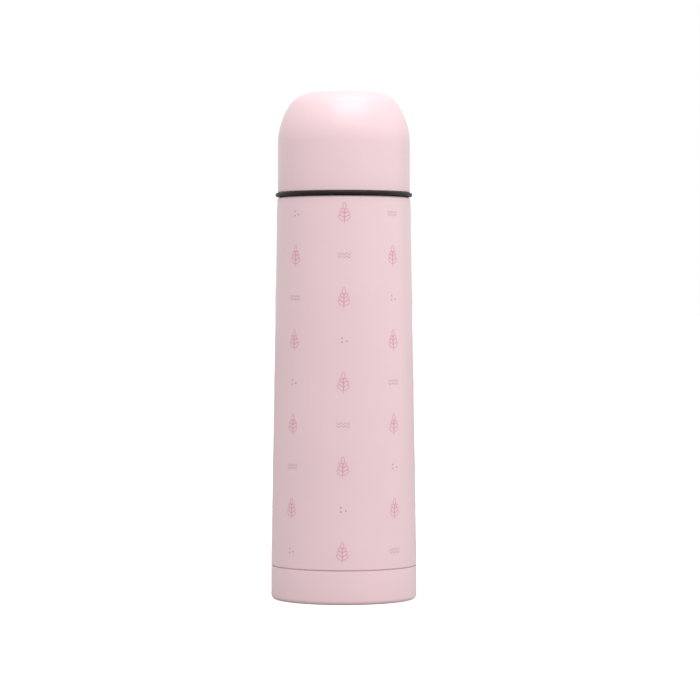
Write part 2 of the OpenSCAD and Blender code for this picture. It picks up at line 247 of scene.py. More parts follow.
# ---------------------------------------------------------------- material helpers

def linear(hex_colour):
    """Scene-linear RGBA of a display colour such as e4c5ca."""
    channels = [int(hex_colour[i:i + 2], 16) / 255 for i in (0, 2, 4)]
    return [c / 12.92 if c <= 0.04045 else ((c + 0.055) / 1.055) ** 2.4 for c in channels] + [1.0]


class Shader:
    """A new material with short calls for the nodes that the finishes share."""

    def __init__(self, name, **inputs):
        self.material = bpy.data.materials.new(name)
        self.material.use_nodes = True
        self.tree = self.material.node_tree
        self.bsdf = self.tree.nodes["Principled BSDF"]
        for key, value in inputs.items():
            self.bsdf.inputs[key.replace("_", " ")].default_value = value
        self.place = self.node("ShaderNodeTexCoord").outputs["Object"]

    def node(self, kind, **settings):
        made = self.tree.nodes.new(kind)
        for key, value in settings.items():
            setattr(made, key, value)
        return made

    def link(self, source, target):
        self.tree.links.new(source, target)

    def stretched(self, scale):
        """Object coordinates scaled per axis, in cycles per metre."""
        mapping = self.node("ShaderNodeMapping")
        mapping.inputs["Scale"].default_value = scale
        self.link(self.place, mapping.inputs["Vector"])
        return mapping.outputs["Vector"]

    def noise(self, scale, detail=2.0, vector=None):
        made = self.node("ShaderNodeTexNoise")
        made.inputs["Scale"].default_value = scale
        made.inputs["Detail"].default_value = detail
        self.link(vector or self.place, made.inputs["Vector"])
        return made.outputs["Fac"]

    def ranged(self, source, low_value, high_value, start=0.3, end=0.7):
        made = self.node("ShaderNodeMapRange")
        made.inputs["From Min"].default_value = start
        made.inputs["From Max"].default_value = end
        made.inputs["To Min"].default_value = low_value
        made.inputs["To Max"].default_value = high_value
        self.link(source, made.inputs["Value"])
        return made.outputs["Result"]

    def tint(self, source, colour_a, colour_b, start=0.3, end=0.7):
        """Base colour that runs between two colours with a pattern."""
        ramp = self.node("ShaderNodeValToRGB")
        ramp.color_ramp.elements[0].position = start
        ramp.color_ramp.elements[1].position = end
        ramp.color_ramp.elements[0].color = colour_a
        ramp.color_ramp.elements[1].color = colour_b
        self.link(source, ramp.inputs["Fac"])
        self.link(ramp.outputs["Color"], self.bsdf.inputs["Base Color"])

    def roughness(self, source, low_value, high_value):
        self.link(self.ranged(source, low_value, high_value), self.bsdf.inputs["Roughness"])

    def bump(self, source, depth, strength=1.0):
        made = self.node("ShaderNodeBump")
        made.inputs["Strength"].default_value = strength
        made.inputs["Distance"].default_value = depth
        self.link(source, made.inputs["Height"])
        self.link(made.outputs["Normal"], self.bsdf.inputs["Normal"])


# ---------------------------------------------------------------- materials

def pink_lacquer():
    """Satin lacquer over steel: faint orange peel, slight tone and gloss drift from handling."""
    s = Shader("pink_lacquer", Coat_Weight=0.25, Coat_Roughness=0.12, IOR=1.5)
    s.tint(s.noise(22, 3), linear("e5c7cb"), linear("e9cacf"))
    s.roughness(s.noise(60, 4), 0.34, 0.42)
    s.bump(s.noise(850, 2), 0.012 * MM, 0.5)
    return s.material


def ink(name, dark, light):
    """Screen-printed ink: matt, a little uneven in its cover."""
    s = Shader(name, IOR=1.45)
    s.tint(s.noise(1500, 3), linear(dark), linear(light))
    s.roughness(s.noise(900, 2), 0.45, 0.6)
    s.bump(s.noise(3000, 2), 0.006 * MM, 0.4)
    return s.material


def black_plastic():
    """Moulded black polypropylene: fine spark texture with a soft sheen."""
    s = Shader("black_plastic", IOR=1.35)
    s.tint(s.noise(90, 3), linear("100c0c"), linear("161212"))
    s.roughness(s.noise(500, 3), 0.36, 0.5)
    s.bump(s.noise(4200, 2), 0.02 * MM, 0.35)
    return s.material


def grey_plastic():
    """Moulded grey polypropylene for the stopper."""
    s = Shader("grey_plastic", IOR=1.49)
    s.tint(s.noise(120, 3), linear("8b8c92"), linear("94959b"))
    s.roughness(s.noise(400, 3), 0.38, 0.5)
    s.bump(s.noise(3600, 2), 0.02 * MM, 0.35)
    return s.material


def black_rubber():
    """Matt seal rubber."""
    s = Shader("black_rubber", IOR=1.5)
    s.tint(s.noise(300, 3), linear("1a191b"), linear("262427"))
    s.roughness(s.noise(700, 2), 0.62, 0.8)
    s.bump(s.noise(2500, 3), 0.02 * MM, 0.4)
    return s.material


def clear_silicone():
    """Milky silicone: light passes a little way in."""
    s = Shader("clear_silicone", IOR=1.42, Subsurface_Weight=0.35, Subsurface_Scale=1.5 * MM)
    s.bsdf.inputs["Subsurface Radius"].default_value = (1.0, 1.0, 1.0)
    s.tint(s.noise(200, 3), linear("d9d9d5"), linear("e6e6e2"))
    s.roughness(s.noise(600, 2), 0.45, 0.6)
    s.bump(s.noise(1800, 2), 0.01 * MM, 0.3)
    return s.material


def turned_steel(name, dark, light):
    """Stainless steel with fine circumferential brushing."""
    s = Shader(name, Metallic=1.0)
    lines = s.noise(1, 4, s.stretched((60, 60, 9000)))
    s.tint(lines, linear(dark), linear(light), 0.35, 0.65)
    s.roughness(lines, 0.24, 0.38)
    s.bump(lines, 0.01 * MM, 0.4)
    return s.material


def spring_steel():
    """Bright drawn wire."""
    s = Shader("spring_steel", Metallic=1.0)
    s.tint(s.noise(1400, 2), linear("a9abaf"), linear("c4c6ca"))
    s.roughness(s.noise(2600, 3), 0.18, 0.3)
    s.bump(s.noise(5000, 2), 0.01 * MM, 0.3)
    return s.material


def copper_foil():
    """Thin foil, creased where it was wrapped by hand."""
    s = Shader("copper_foil", Metallic=1.0)
    creases = s.noise(240, 6, s.stretched((1, 1, 0.4)))
    s.tint(creases, linear("c98f6c"), linear("e0b08f"))
    s.roughness(creases, 0.22, 0.42)
    s.bump(creases, 0.3 * MM, 0.5)
    return s.material


def getter_metal():
    """Pressed metal powder, dark and porous."""
    s = Shader("getter_metal", Metallic=0.6)
    grains = s.noise(5200, 5)
    s.tint(grains, linear("3b3d40"), linear("66696d"))
    s.roughness(grains, 0.6, 0.85)
    s.bump(grains, 0.06 * MM, 0.8)
    return s.material


def seal_glass():
    """Dark sealing glass, smooth from melting."""
    s = Shader("seal_glass", IOR=1.55, Coat_Weight=0.6, Transmission_Weight=0.2)
    s.tint(s.noise(700, 3), linear("44545a"), linear("5a6b70"))
    s.roughness(s.noise(900, 2), 0.08, 0.16)
    s.bump(s.noise(600, 2), 0.04 * MM, 0.3)
    return s.material


def make_finishes():
    """One material for each slot in the record."""
    return {
        "pink_lacquer": pink_lacquer(),
        "black_plastic": black_plastic(),
        "grey_plastic": grey_plastic(),
        "black_rubber": black_rubber(),
        "clear_silicone": clear_silicone(),
        "bare_steel": turned_steel("bare_steel", "b4b5b7", "cfd0d2"),
        "copper_foil": copper_foil(),
        "getter_metal": getter_metal(),
        "seal_glass": seal_glass(),
        "spring_steel": spring_steel(),
    }


FINISH = make_finishes()


def paint_frame():
    """Gives every carried-over CAD node the finish of its slot."""
    for row in frame["record"]["subparts"]:
        node = frame["nodes"][row["node"]]
        node.data.materials.clear()
        node.data.materials.append(FINISH[row["material_slot"]])


# ---------------------------------------------------------------- design values of the pieces

SEAM = 0.5 * MM
SMALL = 0.1 * MM         # rounding of thin sheet edges
SNUG = 0.1 * MM          # clearance between pieces that stay together
STEP_Z = 0.22 * MM       # rows along a threaded wall
RIDGE_FOOT = 2.1 * MM    # width of a thread ridge at its foot
RIDGE_TIP = 0.95 * MM    # and at its tip
FADE = 0.1               # part of a turn over which a ridge fades out
CUP_LEAD = 8 * MM
STOPPER_LEAD = 4 * MM

SHOULDER_Z = low("collar_seal") - 0.05 * MM
RIM_Z = high("inner_vessel")
RING_Z = SHOULDER_Z + 0.4 * MM
RING_TOP = low("cup_seal") - SNUG
NECK_Z = high("outer_shell") - 5 * MM
NECK_R = max(radii_at("outer_shell", NECK_Z))
SHELL_T = NECK_R - min(radii_at("outer_shell", NECK_Z))
VACUUM_GAP = 2.6 * MM
BORE_R = min(radii_at("inner_vessel", RIM_Z - 1 * MM))
COLLAR_ROOT = NECK_R + SNUG + 1.6 * MM
CUP_THREAD_Z = RING_TOP + 2.9 * MM   # where the ridges of the collar and the cup start
CUP_THREAD_TURNS = 0.85
BORE_THREAD_TURNS = 1.75


def ridge_height(a, z, start_z, lead, turns, start_a=0.0):
    """How far a helical ridge stands at an angle and height, from 0 to 1."""
    best = 0.0
    t = ((a - start_a) % math.tau) / math.tau
    while t <= turns:
        off = abs(z - start_z - lead * t)
        if off < RIDGE_FOOT / 2:
            side = (RIDGE_FOOT / 2 - off) / ((RIDGE_FOOT - RIDGE_TIP) / 2)
            best = max(best, min(1.0, side) * min(1.0, t / FADE, (turns - t) / FADE))
        t += 1
    return best


def threaded(root, crest, start_z, lead, turns, starts=1, start_a=0.0):
    """A lathe shape that raises helical ridges from the wall at the root radius."""
    def shape(r, a, z):
        if abs(r - root) > 1e-6:
            return r
        rise = max(
            ridge_height(a, z, start_z, lead, turns, start_a + math.tau * k / starts)
            for k in range(starts)
        )
        return r + (crest - root) * rise
    return shape


def rows_along(outline, root):
    """Adds rows to the stretches of an outline that lie at the thread's root radius."""
    result = []
    for i, p in enumerate(outline):
        q = outline[(i + 1) % len(outline)]
        on_wall = abs(p[0] - root) < 1e-6 and abs(q[0] - root) < 1e-6
        parts = max(1, math.ceil((q - p).length / STEP_Z)) if on_wall else 1
        result.extend(p.lerp(q, k / parts) for k in range(parts))
    return result


# ---------------------------------------------------------------- flask

def outer_shell():
    """Tapered body with a stepped-in skirt, a rounded shoulder and a neck."""
    z0, z1 = low("outer_shell"), high("outer_shell")
    t = SHELL_T
    skirt = max(radii_at("outer_shell", z0 + 5 * MM))
    step = high("base_cap") + SEAM
    outline = rounded([
        (skirt - t, z0, SMALL),
        (skirt, z0, SMALL),
        (skirt, step, SMALL),
        (shell_radius(step), step, 0.25 * MM),
        (shell_radius(SHOULDER_Z), SHOULDER_Z, 1.2 * MM),
        (NECK_R, SHOULDER_Z, 1 * MM),
        (NECK_R, z1, SMALL),
        (NECK_R - t, z1, SMALL),
        (NECK_R - t, SHOULDER_Z - t, 1.6 * MM),
        (shell_radius(SHOULDER_Z) - t, SHOULDER_Z - t, 0.6 * MM),
        (shell_radius(step) - t, step + t, 0.3 * MM),
        (skirt - t, step + t, 0.2 * MM),
    ])
    outline = divided(outline, 12 * MM)
    piece("outer_shell_lacquered", [lathe(outline)], "flask", "pink_lacquer", ["outer_shell"])


def base_cap():
    """Pressed cap with a rounded foot and a raised middle."""
    top = high("base_cap")
    r = outer_radius("base_cap")
    t = SHELL_T
    foot_in, rise = 27 * MM, 1.2 * MM
    outline = rounded([
        (0, rise, 0),
        (foot_in - rise, rise, 0.6 * MM),
        (foot_in, 0, 0.6 * MM),
        (r, 0, 2 * MM),
        (r, top, 0.2 * MM),
        (r - t, top, SMALL),
        (r - t, t, 1.4 * MM),
        (foot_in + t / 2, t, 0.6 * MM),
        (foot_in - rise + t / 2, rise + t, 0.6 * MM),
        (0, rise + t, 0),
    ])
    piece("base_cap_lacquered", [lathe(outline)], "flask", "pink_lacquer", ["base_cap"])


def inner_vessel():
    """Liquid vessel with a sealing seat, a rolled thread and a folded lip."""
    t = 0.5 * MM
    z0 = low("inner_vessel")
    top = SHOULDER_Z - SHELL_T - 2.2 * MM
    bend, shoulder = 9 * MM, 3.5 * MM
    gap = SHELL_T + VACUUM_GAP
    seat = BORE_R - 1.3 * MM
    seat_top, slope = SHOULDER_Z + 2.3 * MM, 0.8 * MM
    lip = 0.5 * MM
    low_r, high_r = shell_radius(z0 + bend) - gap, shell_radius(top - shoulder) - gap
    outline = rounded([
        (0, z0, 0),
        (low_r, z0, bend),
        (high_r, top, shoulder),
        (seat + t, top, 2.5 * MM),
        (seat + t, seat_top, 0.4 * MM),
        (BORE_R + t, seat_top + slope, 0.4 * MM),
        (BORE_R + t, RIM_Z - lip, 0.2 * MM),
        (NECK_R, RIM_Z - lip, SMALL),
        (NECK_R, RIM_Z, 0.24 * MM),
        (BORE_R, RIM_Z, 0.3 * MM),
        (BORE_R, seat_top + slope, 0.4 * MM),
        (seat, seat_top, 0.4 * MM),
        (seat, top - t, 3 * MM),
        (high_r - t, top - t, shoulder - t),
        (low_r - t, z0 + t, bend - t),
        (0, z0 + t, 0),
    ])
    shape = threaded(BORE_R, BORE_R - 1.2 * MM, seat_top + 1.4 * MM + STOPPER_LEAD / 2,
                     STOPPER_LEAD, BORE_THREAD_TURNS)
    outline = rows_along(divided(outline, 12 * MM), BORE_R)
    piece("inner_vessel_steel", [lathe(outline, shape=shape)], "flask", "bare_steel",
          ["inner_vessel"])


def reflective_foil():
    """Foil wrap with shallow creases."""
    z0, z1 = low("reflective_foil"), high("reflective_foil")
    t = 0.12 * MM
    inner = [shell_radius(z) - SHELL_T - VACUUM_GAP + SNUG for z in (z0, z1)]
    outline = divided(rounded([
        (inner[0], z0, 0), (inner[0] + t, z0, 0), (inner[1] + t, z1, 0), (inner[1], z1, 0),
    ]), 2 * MM)

    def creased(r, a, z):
        spot = Vector((math.cos(a) * 9, math.sin(a) * 9, z * 120))
        return r + (0.5 + 0.5 * noise.noise(spot)) * 0.4 * MM

    piece("reflective_foil_wrap", [lathe(outline, shape=creased)], "flask", "copper_foil",
          ["reflective_foil"])


def bottom_plate():
    """Steel disc with a raised dimple round the evacuation port."""
    z0, z1 = low("bottom_plate"), high("bottom_plate")
    r, t, rise, dimple, port = outer_radius("bottom_plate"), 0.8 * MM, 1 * MM, 5 * MM, 1.2 * MM
    flat = z1 - rise - t
    outline = rounded([
        (port, flat + rise, SMALL),
        (dimple, flat + rise, 0.4 * MM),
        (dimple + rise, flat, 0.4 * MM),
        (r - t, flat, 0.5 * MM),
        (r - t, z0, SMALL),
        (r, z0, SMALL),
        (r, flat + t, 0.8 * MM),
        (dimple + rise - 0.3 * MM, flat + t, 0.5 * MM),
        (dimple - 0.3 * MM, flat + rise + t, 0.5 * MM),
        (port, flat + rise + t, SMALL),
    ])
    piece("bottom_plate_steel", [lathe(outline)], "flask", "bare_steel", ["bottom_plate"])


def vacuum_seal():
    """Bead that has flowed into the port and set."""
    z0, z1 = low("vacuum_seal"), high("vacuum_seal")
    bead, neck = outer_radius("vacuum_seal"), 1.15 * MM
    bead_top = z0 + 0.8 * MM
    outline = rounded([
        (0, z0, 0),
        (bead, z0, 0.6 * MM),
        (bead, bead_top, SMALL),
        (neck, bead_top, 0),
        (neck, z1, 0.3 * MM),
        (0, z1, 0),
    ])
    piece("vacuum_seal_bead", [lathe(outline, 64)], "flask", "seal_glass", ["vacuum_seal"])


def getter():
    """Pressed tablet with broken edges, turned about its own axis."""
    a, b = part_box("getter")
    middle, r = (a + b) / 2, (b.x - a.x) / 2
    outline = rounded([(0, a.z, 0), (r, a.z, 0.25 * MM), (r, b.z, 0.25 * MM), (0, b.z, 0)])
    verts, faces = lathe(outline, 64)
    verts = [(x + middle.x, y + middle.y, z) for x, y, z in verts]
    piece("getter_tablet", [(verts, faces)], "flask", "getter_metal", ["getter"])


def neck_collar():
    """Collar: the rounded ring that shows at rest, and the threaded sleeve under the cup."""
    top = high("neck_collar")
    inner = NECK_R + SNUG
    ring = outer_radius("neck_collar")
    outline = rounded([
        (inner, low("neck_collar") + 1 * MM, SMALL),
        (inner + 0.9 * MM, RING_Z, 0.2 * MM),
        (ring, RING_Z, 0.6 * MM),
        (ring, RING_TOP, 0.6 * MM),
        (COLLAR_ROOT, RING_TOP, 0.3 * MM),
        (COLLAR_ROOT, top, 0.5 * MM),
        (inner, top, 0.2 * MM),
    ])
    shape = threaded(COLLAR_ROOT, COLLAR_ROOT + 1.5 * MM, CUP_THREAD_Z,
                     CUP_LEAD, CUP_THREAD_TURNS, starts=2)
    piece("neck_collar_moulded", [lathe(rows_along(outline, COLLAR_ROOT), shape=shape)],
          "flask", "black_plastic", ["neck_collar"])


def soft_ring(name, node, body, slot, inner, rounding):
    """A moulded ring with a rounded section that fills a node's box."""
    z0, z1, r = low(node), high(node), outer_radius(node)
    outline = rounded([
        (inner, z0, rounding), (r, z0, rounding), (r, z1, rounding), (inner, z1, rounding),
    ])
    piece(name, [lathe(outline)], body, slot, [node])


# ---------------------------------------------------------------- printed pattern

INK_TOP = 0.03 * MM      # the first stroke's height above the lacquer
INK_LAYER = 0.004 * MM   # each later stroke lies this much higher
INK_ROOT = 0.03 * MM     # how far a stroke's underside lies in the lacquer
ROWS = 9
COLUMNS = 8
FIRST_ROW_Z = SHOULDER_Z - 8.2 * MM
ROW_STEP = 19.67 * MM
SKEW = math.radians(1.75)     # the print leans this much from the first row to the last
FIRST_SKEW = math.radians(0.6)


def on_shell(spot, x, y, lift):
    """A point of the print, x mm across and y mm up from a spot (angle, z) on the body."""
    angle, z = spot
    z += y * MM
    r = shell_radius(z)
    angle += x * MM / r
    r += lift
    return (r * math.cos(angle), r * math.sin(angle), z)


def stroke(spot, line, width, layer, closed=False):
    """Closed strip of ink along a line of (x, y) points in mm."""
    verts, faces = [], []
    count = len(line)
    lift = INK_TOP + INK_LAYER * layer
    for i, (x, y) in enumerate(line):
        before = line[i - 1] if i > 0 or closed else line[i]
        after = line[(i + 1) % count] if i < count - 1 or closed else line[i]
        dx, dy = after[0] - before[0], after[1] - before[1]
        size = math.hypot(dx, dy)
        nx, ny = -dy / size * width / 2, dx / size * width / 2
        verts += [
            on_shell(spot, x + nx, y + ny, -INK_ROOT),
            on_shell(spot, x - nx, y - ny, -INK_ROOT),
            on_shell(spot, x - nx, y - ny, lift),
            on_shell(spot, x + nx, y + ny, lift),
        ]
    for i in range(count if closed else count - 1):
        a, b = 4 * i, 4 * ((i + 1) % count)
        faces += [(a + k, a + (k + 1) % 4, b + (k + 1) % 4, b + k) for k in range(4)]
    if not closed:
        faces += [(3, 2, 1, 0), tuple(4 * (count - 1) + k for k in range(4))]
    return verts, faces


def dot(spot, x, y, radius):
    """Round dot of ink."""
    sides = 16
    ring = [
        (x + radius * math.cos(math.tau * k / sides), y + radius * math.sin(math.tau * k / sides))
        for k in range(sides)
    ]
    verts = [on_shell(spot, px, py, -INK_ROOT) for px, py in ring]
    verts += [on_shell(spot, px, py, INK_TOP) for px, py in ring]
    faces = [tuple(reversed(range(sides))), tuple(range(sides, 2 * sides))]
    faces += [(k, (k + 1) % sides, sides + (k + 1) % sides, sides + k) for k in range(sides)]
    return verts, faces


def leaf_loop(x, y, length, width, lean):
    """Points round a leaf that starts at (x, y) and points along lean."""
    points = []
    steps = 18
    for k in range(steps):
        a = math.tau * k / steps
        along = length * (0.5 - 0.5 * math.cos(a))
        across = width / 2 * math.sin(a) * (1.15 - 0.3 * along / length)
        points.append((
            x + along * math.cos(lean) - across * math.sin(lean),
            y + along * math.sin(lean) + across * math.cos(lean),
        ))
    return points


def sprig(spot):
    """Line drawing of a sprig: a stem, a bud at its tip and three pairs of leaves."""
    line = 0.3
    parts = [stroke(spot, [(0, -4.9 + 0.5 * k) for k in range(15)], line, 0)]
    parts.append(stroke(spot, leaf_loop(0, 1.9, 2.9, 1.5, math.pi / 2), line, 1, closed=True))
    pairs = [(-3.4, 3.4, 1.7, 38), (-1.6, 3.1, 1.6, 42), (0.3, 2.4, 1.3, 46)]
    for n, (y, length, width, lean) in enumerate(pairs):
        for side, angle in enumerate((math.radians(lean), math.pi - math.radians(lean))):
            loop = leaf_loop(0, y, length, width, angle)
            parts.append(stroke(spot, loop, line, 2 + 2 * n + side, closed=True))
    return parts


def waves(spot):
    """Two short wavy lines, one above the other."""
    length, crests, height, steps = 6.4, 3, 0.42, 48
    parts = []
    for layer, y in enumerate((0.7, -0.7)):
        line = [
            (-length / 2 + length * k / steps,
             y + height * math.sin(math.tau * crests * k / steps + math.pi / 2))
            for k in range(steps + 1)
        ]
        parts.append(stroke(spot, line, 0.22, layer))
    return parts


def three_dots(spot):
    """A loose triangle of dots."""
    return [dot(spot, x, y, 0.4) for x, y in ((-0.8, 0.95), (-0.8, -0.95), (1.5, -0.5))]


def printed_pattern():
    """Staggered rows of sprigs, waves and dots, printed right round the body."""
    motifs = {"sprig": [], "waves": [], "dots": []}
    for row in range(ROWS):
        z = FIRST_ROW_Z - ROW_STEP * row
        skew = FIRST_SKEW - SKEW * row / (ROWS - 1)
        for column in range(COLUMNS):
            spot = (math.tau * column / COLUMNS - math.pi / 2 + skew, z)
            turn = (row + column) % 4
            if turn % 2 == 0:
                motifs["sprig"] += sprig(spot)
            elif turn == 1:
                motifs["waves"] += waves(spot)
            else:
                motifs["dots"] += three_dots(spot)
    rose = ink("rose_ink", "d79ba9", "dda4b3")
    mauve = ink("mauve_ink", "b5919b", "bd9ba5")
    piece("print_sprigs", motifs["sprig"], "flask", "pink_lacquer", material=rose)
    piece("print_waves", motifs["waves"], "flask", "pink_lacquer", material=mauve)
    piece("print_dots", motifs["dots"], "flask", "pink_lacquer", material=mauve)


# ---------------------------------------------------------------- stopper and valve

HEAD_R = outer_radius("stopper_cover")
DECK_Z = high("stopper_cover")
COVER_Z = low("stopper_cover")
FLOOR_Z = low("stopper_body")
FLANGE_Z = RIM_Z + 0.4 * MM
FLANGE_TOP = COVER_Z - 0.15 * MM
RIB_TOP = FLANGE_Z - 1.9 * MM
GUIDE_TOP = RIB_TOP + 3 * MM
SPIGOT_R = HEAD_R - 2 * MM
SLOT_W = 16 * MM
SLOT_Z = COVER_Z + 1.4 * MM
SLOT_H = 4.6 * MM
SKIN_R = BORE_R - 1.8 * MM
GROOVE_R = SKIN_R - 1.2 * MM
BUTTON_TOP = high("push_button")
STEM_R = 4 * MM
FLUTES = 24


def stopper_body():
    """Stopper: valve floor, threaded skirt, pouring flange, spigot, and a stem guide on ribs."""
    wall = SKIN_R - 2 * MM
    groove_low = low("stopper_gasket") - SNUG
    groove_high = high("stopper_gasket") + SNUG
    hole, floor_t = 9 * MM, 1.8 * MM
    foot, groove_in = SKIN_R - 0.3 * MM, GROOVE_R - 1.5 * MM
    spigot_in, spigot_top = SPIGOT_R - 1.5 * MM, high("stopper_body")
    outline = rounded([
        (hole, FLOOR_Z, 0.3 * MM),
        (foot, FLOOR_Z, 0.3 * MM),
        (foot, groove_low, SMALL),
        (GROOVE_R - SNUG, groove_low, SMALL),
        (GROOVE_R - SNUG, groove_high, SMALL),
        (SKIN_R, groove_high, SMALL),
        (SKIN_R, FLANGE_Z, 0.3 * MM),
        (HEAD_R, FLANGE_Z, 0.5 * MM),
        (HEAD_R, FLANGE_TOP, 0.25 * MM),
        (SPIGOT_R, FLANGE_TOP, SMALL),
        (SPIGOT_R, spigot_top, 0.3 * MM),
        (spigot_in, spigot_top, 0.3 * MM),
        (spigot_in, FLANGE_TOP - 2 * MM, 0.5 * MM),
        (wall, FLANGE_Z - 2 * MM, 0.5 * MM),
        (wall, groove_high + 1.5 * MM, 0.5 * MM),
        (groove_in, groove_high, 0.5 * MM),
        (groove_in, FLOOR_Z + floor_t, 0.8 * MM),
        (hole, FLOOR_Z + floor_t, 0.3 * MM),
    ])
    shape = threaded(SKIN_R, BORE_R - 0.5 * MM, SHOULDER_Z + 3.7 * MM, STOPPER_LEAD,
                     BORE_THREAD_TURNS)
    body = piece("stopper_body_moulded", [lathe(rows_along(outline, SKIN_R), shape=shape)],
                 "stopper", "grey_plastic", ["stopper_body"])
    rib_low = FLOOR_Z + 9 * MM
    guide_r, bore = 6.2 * MM, STEM_R + SNUG
    guide = lathe(rounded([
        (bore, rib_low, 0.3 * MM), (guide_r, rib_low, 0.3 * MM),
        (guide_r, GUIDE_TOP, 0.3 * MM), (bore, GUIDE_TOP, 0.3 * MM),
    ]), 96)
    half = 0.9 * MM
    ribs = [
        block(guide_r - 0.5 * MM, wall + 0.5 * MM, -half, half, rib_low, RIB_TOP,
              math.radians(90 + 120 * i))
        for i in range(3)
    ]
    boolean(body, ribs + [guide], "UNION")
    slots = [
        block(-SLOT_W / 2, SLOT_W / 2, side * SPIGOT_R - 3 * MM, side * SPIGOT_R + 3 * MM,
              FLANGE_TOP, spigot_top + 1 * MM)
        for side in (-1, 1)
    ]
    boolean(body, slots, "DIFFERENCE")


def fluted(r, a, z):
    """Finger grips: shallow round flutes up the sides of the stopper's head."""
    radius, centre = 1.5 * MM, HEAD_R + 0.7 * MM
    start = COVER_Z + 3 * MM
    if r < SPIGOT_R + 0.5 * MM or z < start:
        return r
    step = math.tau / FLUTES
    nearest = round(a / step) * step
    if abs(math.cos(nearest)) <= 0.5:    # the head stays plain beside the pouring slots
        return r
    off = centre * math.sin(a - nearest)
    if abs(off) >= radius:
        return r
    wall = centre * math.cos(a - nearest) - math.sqrt(radius ** 2 - off ** 2)
    depth = max(0.0, r - wall) * min(1.0, (z - start) / (0.4 * MM))
    return r - depth


def stopper_cover():
    """Head of the stopper: fluted side, pouring slots, and a sleeve that guides the button."""
    inner = SPIGOT_R + SNUG
    sleeve = outer_radius("push_button") - 1.2 * MM
    sleeve_out, sleeve_z = sleeve + 1.7 * MM, DECK_Z - 6.4 * MM
    deck_under = DECK_Z - 1.8 * MM
    outline = rounded([
        (inner, COVER_Z, SMALL),
        (HEAD_R, COVER_Z, 0.3 * MM),
        (HEAD_R - 0.6 * MM, DECK_Z, 2.5 * MM),
        (sleeve, DECK_Z, 0.5 * MM),
        (sleeve, sleeve_z, 0.2 * MM),
        (sleeve_out, sleeve_z, 0.3 * MM),
        (sleeve_out, deck_under, 0.4 * MM),
        (inner, deck_under, 0.8 * MM),
    ])
    cover = piece("stopper_cover_moulded", [lathe(divided(outline, 0.5 * MM), 288, fluted)],
                  "stopper", "grey_plastic", ["stopper_cover"])
    slots = [
        block(-SLOT_W / 2, SLOT_W / 2, side * HEAD_R - 4 * MM, side * HEAD_R + 4 * MM,
              SLOT_Z, SLOT_Z + SLOT_H)
        for side in (-1, 1)
    ]
    boolean(cover, slots, "DIFFERENCE")


def stopper_gasket():
    """Double-lipped ring in the groove at the stopper's lower end."""
    z0, z1 = low("stopper_gasket"), high("stopper_gasket")
    r, lip = outer_radius("stopper_gasket"), 0.5 * MM
    outline = rounded([
        (GROOVE_R, z0, SMALL),
        (r - lip / 2, z0, 0.3 * MM),
        (r, z0 + lip, 0.3 * MM),
        (r - lip, (z0 + z1) / 2, 0.4 * MM),
        (r, z1 - lip, 0.3 * MM),
        (r - lip / 2, z1, 0.3 * MM),
        (GROOVE_R, z1, SMALL),
    ])
    piece("stopper_gasket_ring", [lathe(outline)], "stopper_ring", "clear_silicone",
          ["stopper_gasket"])


def push_button():
    """Button with a softly dished top, a retaining lip and a boss for the stem."""
    z0 = low("push_button")
    lip_r = outer_radius("push_button")
    r = lip_r - 1.4 * MM
    wall, under = r - 1.4 * MM, BUTTON_TOP - 1.9 * MM
    boss, socket = 6 * MM, STEM_R + 0.05 * MM
    boss_z = GUIDE_TOP + 4.1 * MM
    socket_top = BUTTON_TOP - 4.1 * MM
    lip_top = z0 + 1.8 * MM
    outline = rounded([
        (0, BUTTON_TOP - 0.5 * MM, 0),
        (5 * MM, BUTTON_TOP - 0.4 * MM, 2 * MM),
        (r - 2.2 * MM, BUTTON_TOP, 1.5 * MM),
        (r, BUTTON_TOP - 0.3 * MM, 1.1 * MM),
        (r, lip_top, SMALL),
        (lip_r, lip_top, 0.2 * MM),
        (lip_r, z0, 0.2 * MM),
        (wall, z0, 0.2 * MM),
        (wall, under, 0.5 * MM),
        (boss, under, 0.5 * MM),
        (boss, boss_z, 0.2 * MM),
        (socket, boss_z, 0.2 * MM),
        (socket, socket_top, SMALL),
        (0, socket_top, 0),
    ])
    piece("push_button_moulded", [lathe(outline)], "valve", "black_plastic", ["push_button"])


def valve_plunger():
    """Disc, hub and stem under the button."""
    z0, z1 = low("valve_plunger"), high("valve_plunger")
    disc, hub = outer_radius("valve_plunger"), 5.8 * MM
    disc_top = z0 + 1.8 * MM
    hub_top = disc_top + 2.8 * MM
    outline = rounded([
        (0, z0, 0),
        (disc, z0, 0.6 * MM),
        (disc, disc_top, 0.2 * MM),
        (hub, disc_top, SMALL),
        (hub, hub_top, 0.4 * MM),
        (STEM_R, hub_top, 0.3 * MM),
        (STEM_R, z1, 0.4 * MM),
        (0, z1, 0),
    ])
    piece("valve_plunger_moulded", [lathe(outline, 128)], "valve", "grey_plastic",
          ["valve_plunger"])


def valve_seal():
    """Washer with a raised sealing bead."""
    z0, z1, r = low("valve_seal"), high("valve_seal"), outer_radius("valve_seal")
    inner, hole = 5.9 * MM, 9 * MM
    flat = z0 + 1.4 * MM
    outline = rounded([
        (inner, z0, SMALL),
        (r, z0, 0.4 * MM),
        (r, flat, 0.4 * MM),
        (r - 0.4 * MM, z1, 0.4 * MM),
        (hole + 0.7 * MM, z1, 0.4 * MM),
        (hole + 0.2 * MM, flat, 0.3 * MM),
        (inner, flat, SMALL),
    ])
    piece("valve_seal_ring", [lathe(outline, 128)], "valve", "clear_silicone", ["valve_seal"])


